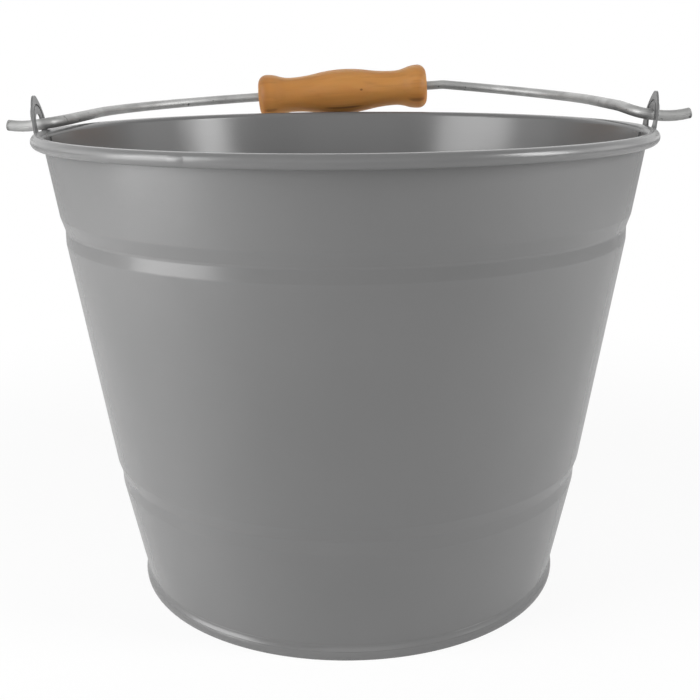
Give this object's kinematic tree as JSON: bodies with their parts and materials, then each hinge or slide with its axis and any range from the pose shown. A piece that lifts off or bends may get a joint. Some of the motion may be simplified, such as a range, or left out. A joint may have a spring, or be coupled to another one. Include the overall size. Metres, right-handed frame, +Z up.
{
  "type": "kindling bucket",
  "caption": "Tapered painted sheet-steel bucket with a rolled rim, pressed grooves, riveted ears, a swinging wire bail and a loose turned wooden grip.",
  "frame": {"origin": "on the floor, under the middle of the round base", "axes": "+Z up; the ears lie along X, the bail lies back over the rear rim at +Y, and the front faces -Y"},
  "size_m": [0.3491, 0.3283, 0.2675],
  "materials": {
    "grey_paint": "satin",
    "rim_steel": "satin",
    "galvanised_wire": "satin",
    "varnished_wood": "satin varnish"
  },
  "bodies": {
    "bucket": {"bucket_wall": "grey_paint", "rim_wire": "rim_steel", "base_pan": "grey_paint", "ear_left": "grey_paint", "ear_right": "grey_paint", "backing_left": "grey_paint", "backing_right": "grey_paint", "rivet_left_upper": "grey_paint", "rivet_left_lower": "grey_paint", "rivet_right_upper": "grey_paint", "rivet_right_lower": "grey_paint"},
    "bail": {"bail_wire": "galvanised_wire"},
    "grip": {"wood_grip": "varnished_wood"}
  },
  "joints": [
    {"name": "bail_swing", "type": "hinge", "parent": "bucket", "child": "bail", "pos_m": [0, 0, 0.24221], "axis": [1, 0, 0.0066], "range_deg": [0, 172]},
    {"name": "grip_spin", "type": "hinge", "parent": "bail", "child": "grip", "pos_m": [-0.0015, 0.15935, 0.25088], "axis": [0.9982, 0, 0.0593], "continuous": true}
  ]
}
